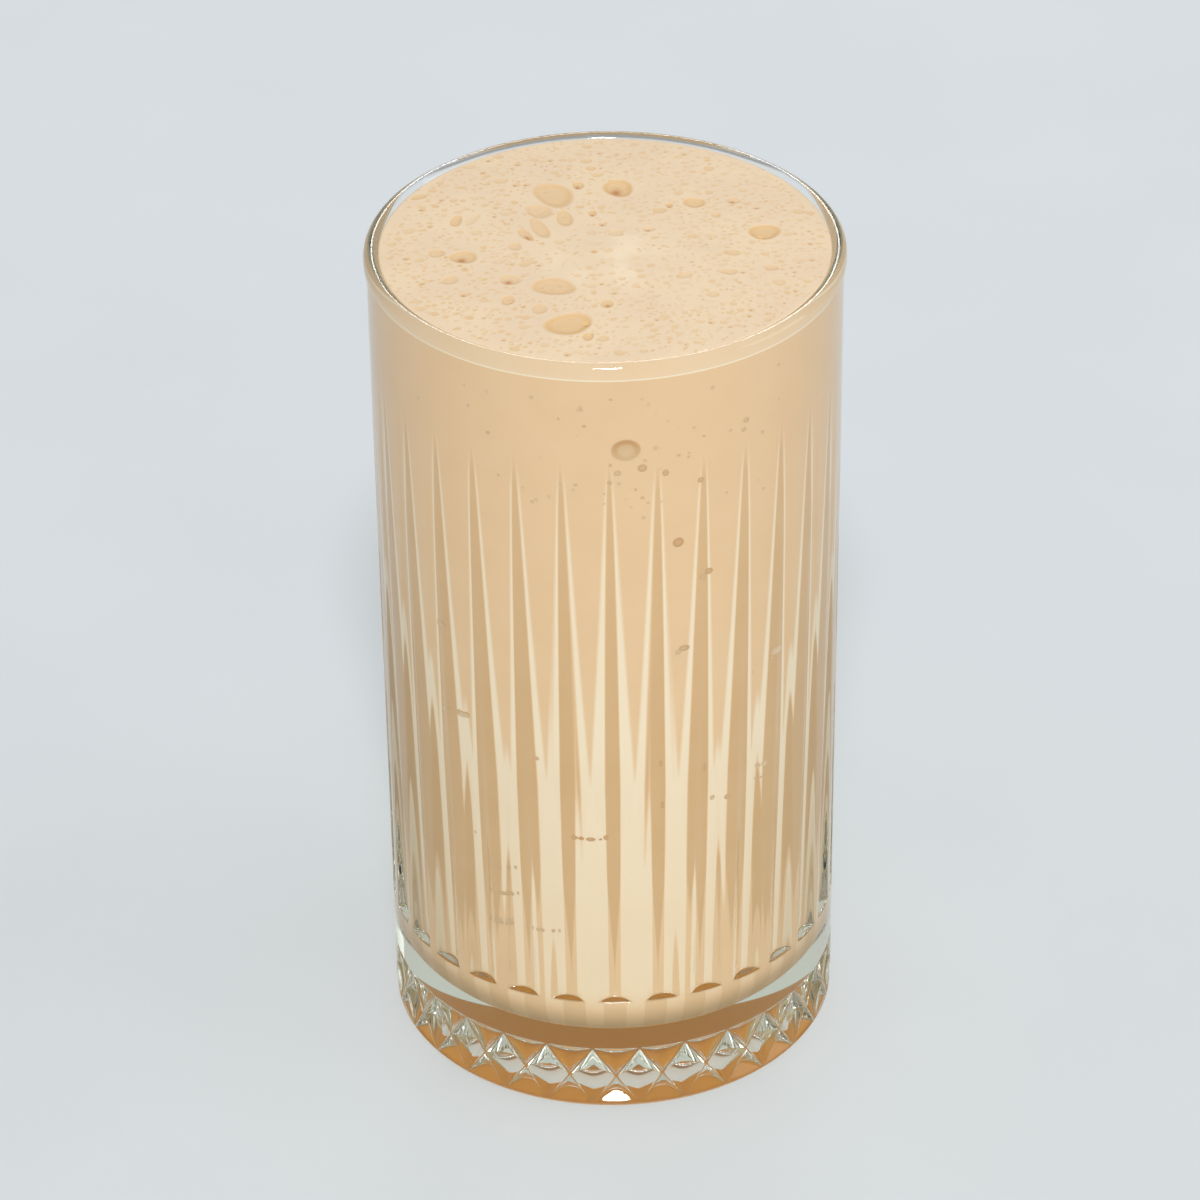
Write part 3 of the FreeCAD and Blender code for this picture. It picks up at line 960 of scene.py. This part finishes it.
@dataclass
class CaughtBubbles:
    """The air bubbles that show through the wall, as thin patches on the drink's side, painted darker by ring
    and, when hollow, on one side, as painted shade.
    """

    form: TumblerForm
    proud: float = 0.16 * MM
    segments: int = 20
    strewn: int = 70
    seed: int = 5
    levels: tuple = ((0.0, 0.25), (0.45, 0.35), (0.72, 1.0), (0.90, 0.9), (1.0, 0.4))

    def dimples(self) -> list[Dimple]:
        """The listed bubbles and the small strewn ones.

        Returns:
            All the bubbles.
        """
        dice = random.Random(self.seed)
        dimples = list(WALL_BUBBLES)
        for _ in range(self.strewn):
            high = dice.random() < 0.75
            turn = dice.gauss(12.0, 24.0) if high else dice.uniform(-50, 50)
            height = dice.uniform(118, 141) if high else dice.uniform(30, 118)
            size = dice.uniform(0.13, 0.36)
            tall = size * dice.uniform(0.7, 1.1)
            dimples.append(Dimple(turn, height, size, tall, dice.uniform(0.25, 0.6)))
        return dimples

    def place(self, dimple: Dimple, share: float, around: float) -> tuple[float, float, float]:
        """A point of a bubble's patch, just outside the drink's side.

        Args:
            dimple: The bubble.
            share: How far out from its middle, from 0 to 1.
            around: Angle round its middle.

        Returns:
            The point.
        """
        centre_r, centre_z, radius = self.form.wall_arc()
        height = (dimple.height + dimple.tall * share * math.sin(around)) * MM
        side = centre_r + math.sqrt(radius**2 - (height - centre_z) ** 2) + self.proud
        turn = math.radians(dimple.turn - 90) + dimple.across * share * math.cos(around) * MM / side
        return side * math.cos(turn), side * math.sin(turn), height

    def build(self) -> bpy.types.Object:
        """Makes all the bubbles as one piece.

        Returns:
            The piece.
        """
        points, faces, warm, pips = [], [], [], []
        for dimple in self.dimples():
            first = len(points)
            for share, tone in self.levels:
                for index in range(self.segments if share else 1):
                    around = 2 * math.pi * index / self.segments
                    points.append(self.place(dimple, share, around))
                    # Painted shade: each ring of a patch has its own tone, and a hollow one is darker on one
                    # side.
                    shade = tone * (0.65 + 0.35 * math.sin(around)) if dimple.hollow else 0.55 + 0.45 * tone
                    warm.append(dimple.dark * (0.5 + 0.5 * shade))
                    pips.append(dimple.dark * 0.62 * shade)
            last = [first] * self.segments
            for level in range(len(self.levels) - 1):
                ring = [first + 1 + level * self.segments + index for index in range(self.segments)]
                for index in range(self.segments):
                    after = (index + 1) % self.segments
                    corners = (last[index], ring[index], ring[after], last[after])
                    faces.append(corners if level else corners[:3])
                last = ring
        mesh = bpy.data.meshes.new("caught_bubbles")
        mesh.from_pydata(points, [], faces)
        mesh.shade_smooth()
        for name, values in (("froth", [1.0] * len(points)), ("warm", warm), ("pips", pips)):
            mesh.attributes.new(name, "FLOAT", "POINT").data.foreach_set("value", values)
        piece = bpy.data.objects.new("caught_bubbles", mesh)
        bpy.context.scene.collection.objects.link(piece)
        return piece


# ---------------------------------------------------------------------------
# Finishes
# ---------------------------------------------------------------------------


# Sockets of a Mix node that mixes colours; their names are shared with its other kinds.
MIX_FIRST_COLOUR = 6
MIX_SECOND_COLOUR = 7
MIX_COLOUR_RESULT = 2


@dataclass
class Graph:
    """A material's nodes, added and joined by short calls."""

    material: bpy.types.Material

    @classmethod
    def new(cls, name: str) -> "Graph":
        """Starts a node material with a Principled shader.

        Args:
            name: Name of the material.

        Returns:
            Its nodes.
        """
        material = bpy.data.materials.new(name)
        material.use_nodes = True
        return cls(material)

    @property
    def tree(self) -> bpy.types.NodeTree:
        """The material's node tree."""
        return self.material.node_tree

    @property
    def shader(self) -> bpy.types.Node:
        """The Principled shader."""
        return self.tree.nodes["Principled BSDF"]

    def node(self, kind: str, **settings: object) -> bpy.types.Node:
        """Adds a node and sets its own settings.

        Args:
            kind: The node's type, without its ShaderNode beginning.
            settings: The node's properties by name.

        Returns:
            The node.
        """
        node = self.tree.nodes.new("ShaderNode" + kind)
        for name, value in settings.items():
            setattr(node, name, value)
        return node

    def feed(self, socket: bpy.types.NodeSocket, value: object) -> None:
        """Joins a socket to an output, or sets its value.

        Args:
            socket: The input.
            value: An output to join it to, or a plain value.
        """
        if isinstance(value, bpy.types.NodeSocket):
            self.tree.links.new(value, socket)
        else:
            socket.default_value = value

    def math(self, kind: str, *values: object) -> bpy.types.NodeSocket:
        """Result of a Math node.

        Args:
            kind: What it works out.
            values: Outputs or numbers.

        Returns:
            The result.
        """
        node = self.node("Math", operation=kind)
        for socket, value in zip(node.inputs, values):
            self.feed(socket, value)
        return node.outputs[0]

    def attribute(self, name: str) -> bpy.types.NodeSocket:
        """A mark painted on the mesh."""
        return self.node("Attribute", attribute_name=name).outputs["Fac"]

    def place(self) -> bpy.types.NodeSocket:
        """The place on the piece, in metres."""
        return self.node("TexCoord").outputs["Object"]

    def step(self, value: object, low: object, high: object) -> bpy.types.NodeSocket:
        """Soft step from 0 to 1.

        Args:
            value: What is measured.
            low: Where the step is 0.
            high: Where the step is 1.

        Returns:
            The step.
        """
        node = self.node("MapRange", interpolation_type="SMOOTHSTEP")
        self.feed(node.inputs["Value"], value)
        self.feed(node.inputs["From Min"], low)
        self.feed(node.inputs["From Max"], high)
        return node.outputs["Result"]

    def mix(self, share: object, first: object, second: object) -> bpy.types.NodeSocket:
        """Mixes two colours.

        Args:
            share: How much of the second.
            first: A colour or an output.
            second: A colour or an output.

        Returns:
            The mixed colour.
        """
        node = self.node("Mix", data_type="RGBA")
        self.feed(node.inputs["Factor"], share)
        self.feed(node.inputs[MIX_FIRST_COLOUR], first)
        self.feed(node.inputs[MIX_SECOND_COLOUR], second)
        return node.outputs[MIX_COLOUR_RESULT]

    def ramp(self, value: object, stops: tuple) -> bpy.types.NodeSocket:
        """Colour from a ramp.

        Args:
            value: Place along the ramp.
            stops: Position and colour of each stop.

        Returns:
            The colour.
        """
        node = self.node("ValToRGB")
        ramp = node.color_ramp
        while len(ramp.elements) < len(stops):
            ramp.elements.new(0.5)
        for element, (position, colour) in zip(ramp.elements, stops):
            element.position = position
            element.color = colour
        self.feed(node.inputs["Fac"], value)
        return node.outputs["Color"]

    def noise(self, size: float, detail: float) -> bpy.types.NodeSocket:
        """Cloudy noise.

        Args:
            size: About how large its lumps are, in millimetres.
            detail: How many finer layers it has.

        Returns:
            The noise.
        """
        node = self.node("TexNoise")
        self.feed(node.inputs["Vector"], self.place())
        node.inputs["Scale"].default_value = 1 / (size * MM)
        node.inputs["Detail"].default_value = detail
        return node.outputs["Fac"]

    def cells(self, size: float) -> bpy.types.NodeSocket:
        """Distance from the middles of scattered cells.

        Args:
            size: About how large the cells are, in millimetres.

        Returns:
            The distance as a share of that size.
        """
        node = self.node("TexVoronoi")
        self.feed(node.inputs["Vector"], self.place())
        node.inputs["Scale"].default_value = 1 / (size * MM)
        return node.outputs["Distance"]


def srgb(red: int, green: int, blue: int) -> tuple:
    """Linear colour of an sRGB one given in steps of 255."""
    shares = [value / 255 for value in (red, green, blue)]
    return tuple(s / 12.92 if s <= 0.04045 else ((s + 0.055) / 1.055) ** 2.4 for s in shares) + (1.0,)


@dataclass(frozen=True)
class ClearGlass:
    """Polished pressed glass with a sage cast in its depth. Lamps shine through it."""

    refraction: float = 1.51
    depth_colour: tuple = (0.68, 0.80, 0.66, 1.0)
    density: float = 11.0
    lamp_share: tuple = (0.95, 0.945, 0.92, 1.0)

    def material(self) -> bpy.types.Material:
        """Makes the finish.

        Returns:
            The node material.
        """
        graph = Graph.new("clear_pressed_glass")
        shader = graph.shader
        shader.inputs["Base Color"].default_value = (1.0, 1.0, 1.0, 1.0)
        shader.inputs["Roughness"].default_value = 0.0
        shader.inputs["IOR"].default_value = self.refraction
        shader.inputs["Transmission Weight"].default_value = 1.0
        open_way = graph.node("BsdfTransparent")
        open_way.inputs["Color"].default_value = self.lamp_share
        path = graph.node("LightPath")
        lamp_way = graph.math("MAXIMUM", path.outputs["Is Shadow Ray"], path.outputs["Is Diffuse Ray"])
        mixer = graph.node("MixShader")
        graph.feed(mixer.inputs[0], lamp_way)
        graph.feed(mixer.inputs[1], shader.outputs[0])
        graph.feed(mixer.inputs[2], open_way.outputs[0])
        depth = graph.node("VolumeAbsorption")
        depth.inputs["Color"].default_value = self.depth_colour
        depth.inputs["Density"].default_value = self.density
        output = graph.tree.nodes["Material Output"]
        graph.feed(output.inputs["Surface"], mixer.outputs[0])
        graph.feed(output.inputs["Volume"], depth.outputs[0])
        return graph.material


@dataclass(frozen=True)
class BlendedBanana:
    """The drink: pale froth on top, tan against the glass with painted light bands, and browner with painted
    shade and a painted glow on its underside.
    """

    form: TumblerForm
    pattern: CutPattern
    froth: tuple = srgb(228, 207, 176)
    froth_low: tuple = srgb(225, 203, 174)
    bubble: tuple = srgb(216, 178, 124)
    shaded_hole: tuple = srgb(176, 112, 52)
    dim: tuple = srgb(199, 158, 104)
    plain: tuple = srgb(232, 196, 153)
    bright: tuple = srgb(244, 225, 196)
    hottest: tuple = srgb(248, 233, 207)
    # Painted shade and painted glow of the drink's underside.
    bottom_painted_shade: tuple = (0.80, 0.36, 0.06, 1.0)
    bottom_painted_glow: tuple = (0.90, 0.40, 0.10, 1.0)
    bottom_glow_strength: float = 0.20
    refraction: float = 1.36
    side_roughness: float = 0.6
    froth_roughness: float = 0.58
    wet_gloss: float = 0.20
    wet_place: tuple = (0.5 * MM, -5 * MM)
    wet_inner: float = 6 * MM
    wet_outer: float = 15 * MM
    pit_relief: float = 0.04 * MM
    edge_softness: float = 0.36
    spread_softness: float = 1.6
    brightest: float = 1.62

    def material(self) -> bpy.types.Material:
        """Makes the finish.

        Returns:
            The node material.
        """
        graph = Graph.new("banana_smoothie")
        shader = graph.shader
        froth = graph.attribute("froth")
        side = self.side_colour(graph)
        top, lift = self.froth_colour(graph)
        graph.feed(shader.inputs["Base Color"], graph.mix(froth, side, top))
        gloss = graph.math("MULTIPLY", graph.step(graph.noise(6.0, 3.0), 0.44, 0.62), self.wet_middle(graph))
        wet = graph.math("MULTIPLY_ADD", gloss, -self.wet_gloss, self.froth_roughness)
        above_side = graph.math("SUBTRACT", wet, self.side_roughness)
        roughness = graph.math("MULTIPLY_ADD", froth, above_side, self.side_roughness)
        graph.feed(shader.inputs["Roughness"], roughness)
        shader.inputs["IOR"].default_value = self.refraction
        bump = graph.node("Bump")
        bump.inputs["Strength"].default_value = 1.0
        bump.inputs["Distance"].default_value = self.pit_relief
        graph.feed(bump.inputs["Height"], graph.math("MULTIPLY", lift, froth))
        graph.feed(shader.inputs["Normal"], bump.outputs["Normal"])
        return graph.material

    def wet_middle(self, graph: Graph) -> bpy.types.NodeSocket:
        """Where the froth is wetter.

        Args:
            graph: The material's nodes.

        Returns:
            1 in the froth's middle, falling to 0 some way out.
        """
        apart = graph.node("VectorMath", operation="DISTANCE")
        graph.feed(apart.inputs[0], graph.place())
        apart.inputs[1].default_value = (*self.wet_place, self.form.height)
        return graph.step(apart.outputs["Value"], self.wet_outer, self.wet_inner)

    def side_colour(self, graph: Graph) -> bpy.types.NodeSocket:
        """Colour against the glass, with painted light and shade for the light that the flutes thin out and
        gather, and more painted light and shade near the lip and the bottom.

        Args:
            graph: The material's nodes.

        Returns:
            The colour.
        """
        parts = graph.node("SeparateXYZ")
        graph.feed(parts.inputs[0], graph.place())
        height = parts.outputs["Z"]
        light = self.flute_light(graph, parts)
        cloudy = graph.math("MULTIPLY_ADD", graph.noise(9.0, 3.0), 0.16, -0.08)
        light = graph.math("ADD", light, cloudy)
        # Painted highlight: a bright line just under the bead, and a slightly paler strip above it.
        bead = self.form.height - self.form.bead_height - 1.1 * MM
        line = graph.step(height, bead - 0.25 * MM, bead)
        past = graph.step(height, bead + 0.10 * MM, bead + 0.45 * MM)
        lip_light = graph.math("MULTIPLY_ADD", past, -0.75, graph.math("MULTIPLY", line, 0.95))
        light = graph.math("ADD", light, lip_light)
        # Painted shade: the side is darker towards the bottom.
        base = graph.step(height, self.form.floor + 9 * MM, self.form.floor + 3 * MM)
        light = graph.math("MULTIPLY_ADD", base, -0.30, light)
        # Painted light: the ramp turns the painted light and shade into the side's colour, dim to hottest.
        stops = ((0.20, self.dim), (0.50, self.plain), (0.80, self.bright), (1.0, self.hottest))
        banded = graph.ramp(graph.math("MULTIPLY", light, 0.5), stops)
        # Painted shade and painted glow: the drink's underside is browner and darker, and glows faintly as if
        # lit through the foot.
        bottom_share = graph.step(height, self.form.floor + 1.3 * MM, self.form.floor + 0.3 * MM)
        glow = graph.math("MULTIPLY", bottom_share, self.bottom_glow_strength)
        graph.shader.inputs["Emission Color"].default_value = self.bottom_painted_glow
        graph.feed(graph.shader.inputs["Emission Strength"], glow)
        return graph.mix(bottom_share, banded, self.bottom_painted_shade)

    def flute_light(self, graph: Graph, parts: bpy.types.Node) -> bpy.types.NodeSocket:
        """Painted light that stands for what reaches the drink's side through the grooves, 1 where it is
        plain.

        Args:
            graph: The material's nodes.
            parts: The place on the piece, split into its three parts.

        Returns:
            The light, from the straight and the spread light of the nearest two grooves.
        """
        half_pitch = math.degrees(self.pattern.half_pitch)
        turn = graph.math("ARCTAN2", parts.outputs["Y"], parts.outputs["X"])
        degrees = graph.math("MULTIPLY_ADD", turn, math.degrees(1), 450.0)
        near = graph.math("PINGPONG", degrees, half_pitch)
        far = graph.math("SUBTRACT", 2 * half_pitch, near)
        thin_half = graph.attribute("thin_half")
        spread_half = graph.attribute("spread_half")
        thinned = graph.attribute("thinned")
        soft = self.edge_softness
        softer = self.spread_softness * soft
        straight = graph.step(graph.math("SUBTRACT", near, thin_half), -soft, soft)
        own = graph.step(graph.math("SUBTRACT", spread_half, near), -softer, softer)
        next_one = graph.step(graph.math("SUBTRACT", spread_half, far), -softer, softer)
        spread = graph.math("MULTIPLY", thinned, graph.math("ADD", own, next_one))
        whole = graph.math("MINIMUM", graph.math("ADD", straight, spread), self.brightest)
        change = graph.math("SUBTRACT", whole, 1.0)
        return graph.math("MULTIPLY_ADD", change, graph.attribute("cut"), 1.0)

    def froth_colour(self, graph: Graph) -> tuple[bpy.types.NodeSocket, bpy.types.NodeSocket]:
        """Colour and fine relief of the froth.

        Args:
            graph: The material's nodes.

        Returns:
            The colour, and the height of the finest bubbles.
        """
        cloud = graph.noise(11.0, 4.0)
        base = graph.mix(graph.step(cloud, 0.35, 0.65), self.froth, self.froth_low)
        tiny = graph.step(graph.cells(1.1), 0.34, 0.16)
        strewn = graph.step(graph.noise(3.2, 2.0), 0.45, 0.62)
        pits = graph.math("MULTIPLY", tiny, strewn)
        base = graph.mix(graph.math("MULTIPLY", pits, 0.55), base, self.bubble)
        # Bubble warmth with painted shade, then the painted dark spots of the holes.
        warm = graph.mix(graph.attribute("warm"), base, self.bubble)
        shaded_hole = graph.math("MULTIPLY", graph.attribute("pips"), 0.85)
        return graph.mix(shaded_hole, warm, self.shaded_hole), graph.math("MULTIPLY", pits, -1.0)


@dataclass(frozen=True)
class StudioFloor:
    """Plain pale blue-grey floor, faintly clouded."""

    colour: tuple = srgb(208, 215, 220)
    clouded: tuple = srgb(206, 213, 218)

    def material(self) -> bpy.types.Material:
        """Makes the finish.

        Returns:
            The node material.
        """
        graph = Graph.new("studio_floor")
        shader = graph.shader
        cloud = graph.step(graph.noise(60.0, 2.0), 0.3, 0.7)
        graph.feed(shader.inputs["Base Color"], graph.mix(cloud, self.colour, self.clouded))
        shader.inputs["Roughness"].default_value = 1.0
        shader.inputs["Specular IOR Level"].default_value = 0.0
        return graph.material


# ---------------------------------------------------------------------------
# Studio
# ---------------------------------------------------------------------------


@dataclass
class Studio:
    """Floor, light and camera."""

    form: TumblerForm
    floor_size: float = 12.0
    floor_gap: float = 0.15 * MM
    even_light: float = 0.44
    even_colour: tuple = (1.0, 0.97, 0.93, 1.0)
    backdrop_light: float = 0.66
    backdrop_colour: tuple = (1.0, 0.99, 0.95, 1.0)
    key_strength: float = 2.46
    key_turn: float = math.radians(0.5)
    key_elevation: float = math.radians(47.0)
    key_width: float = math.radians(11.0)
    back_power: float = 2.2
    side_power: float = 2.3
    camera_distance: float = 0.98449
    camera_elevation: float = math.radians(32.901)
    camera_turn: float = math.radians(-0.337)
    camera_roll: float = math.radians(-0.687)
    aim_height: float = 79.3 * MM
    lens: float = 175.18
    sensor_width: float = 36.0
    far_limit: float = 50.0
    shift: tuple = (-0.00768, -0.00078)

    def build(self) -> None:
        """Makes the floor, the lamps, the world and the camera."""
        self.floor()
        self.world()
        self.key()
        self.softbox("back_softbox", (0.05, 1.7, 1.12), 0.34, 0.24, self.back_power)
        self.softbox("side_softbox", (1.25, -0.15, 0.55), 0.8, 0.8, self.side_power)
        self.camera()

    def floor(self) -> None:
        """Makes the floor the glass stands on."""
        half = self.floor_size / 2
        mesh = bpy.data.meshes.new("studio_floor")
        square = ((-half, -half), (half, -half), (half, half), (-half, half))
        corners = [(x, y, -self.floor_gap) for x, y in square]
        mesh.from_pydata(corners, [], [(0, 1, 2, 3)])
        floor = bpy.data.objects.new("studio_floor", mesh)
        bpy.context.scene.collection.objects.link(floor)
        floor.data.materials.append(StudioFloor().material())

    def world(self) -> None:
        """Sets an even light all round, and a paler backdrop for what looks straight at it."""
        world = bpy.data.worlds.new("studio_world")
        world.use_nodes = True
        nodes, links = world.node_tree.nodes, world.node_tree.links
        even = nodes["Background"]
        even.inputs["Color"].default_value = self.even_colour
        even.inputs["Strength"].default_value = self.even_light
        backdrop = nodes.new("ShaderNodeBackground")
        backdrop.inputs["Color"].default_value = self.backdrop_colour
        backdrop.inputs["Strength"].default_value = self.backdrop_light
        path = nodes.new("ShaderNodeLightPath")
        seen = path.outputs["Is Camera Ray"]
        for name in ("Is Glossy Ray", "Is Transmission Ray"):
            either = nodes.new("ShaderNodeMath")
            either.operation = "MAXIMUM"
            links.new(seen, either.inputs[0])
            links.new(path.outputs[name], either.inputs[1])
            seen = either.outputs[0]
        mixer = nodes.new("ShaderNodeMixShader")
        links.new(seen, mixer.inputs[0])
        links.new(even.outputs[0], mixer.inputs[1])
        links.new(backdrop.outputs[0], mixer.inputs[2])
        links.new(mixer.outputs[0], nodes["World Output"].inputs["Surface"])
        bpy.context.scene.world = world

    def key(self) -> None:
        """Adds the broad far lamp in front, which lights the floor evenly too."""
        lamp = bpy.data.lights.new("key_lamp", "SUN")
        lamp.energy = self.key_strength
        lamp.angle = self.key_width
        holder = bpy.data.objects.new("key_lamp", lamp)
        holder.rotation_euler = (math.pi / 2 - self.key_elevation, 0, self.key_turn)
        bpy.context.scene.collection.objects.link(holder)

    def softbox(self, name: str, place: tuple, width: float, height: float, power: float) -> None:
        """Adds one soft rectangular lamp facing the glass.

        Args:
            name: Name of the lamp.
            place: Where it hangs.
            width: Its width.
            height: Its height.
            power: Its power in watts.
        """
        lamp = bpy.data.lights.new(name, "AREA")
        lamp.shape = "RECTANGLE"
        lamp.size = width
        lamp.size_y = height
        lamp.energy = power
        holder = bpy.data.objects.new(name, lamp)
        aim = Vector((0, 0, self.form.height / 2)) - Vector(place)
        holder.location = place
        holder.rotation_euler = aim.to_track_quat("-Z", "Y").to_euler()
        bpy.context.scene.collection.objects.link(holder)

    def camera(self) -> None:
        """Adds the camera and makes it the scene's own."""
        camera = bpy.data.cameras.new("camera")
        camera.sensor_width = self.sensor_width
        camera.lens = self.lens
        camera.shift_x, camera.shift_y = self.shift
        camera.clip_end = self.far_limit
        holder = bpy.data.objects.new("camera", camera)
        reach = self.camera_distance * math.cos(self.camera_elevation)
        rise = self.camera_distance * math.sin(self.camera_elevation)
        turn = Matrix.Rotation(self.camera_turn, 4, "Z")
        tilt = Matrix.Rotation(math.pi / 2 - self.camera_elevation, 4, "X")
        roll = Matrix.Rotation(self.camera_roll, 4, "Z")
        place = Matrix.Translation((0, -reach, self.aim_height + rise))
        holder.matrix_world = turn @ place @ tilt @ roll
        bpy.context.scene.collection.objects.link(holder)
        bpy.context.scene.camera = holder


def main() -> None:
    """Builds the glass, the drink and the studio round them."""
    logging.basicConfig(level=logging.INFO, format="%(name)s %(message)s")
    bpy.context.scene.view_settings.view_transform = "Standard"
    _, glass_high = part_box("glass")
    drink_low, drink_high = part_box("smoothie")
    form = TumblerForm(height=glass_high.z, floor=drink_low.z - FLOOR_SINK)
    pattern = CutPattern()
    glass = PressedGlass(form, pattern).build()
    finish_piece(glass, Slot.GLASS, ClearGlass().material(), "glass")
    drink = Smoothie(form, FluteLight(form, pattern), drink_high.z).build()
    banana = BlendedBanana(form, pattern).material()
    finish_piece(drink, Slot.SMOOTHIE, banana, "smoothie")
    finish_piece(CaughtBubbles(form).build(), Slot.SMOOTHIE, banana)
    Studio(form).build()


if __name__ == "__main__":
    main()
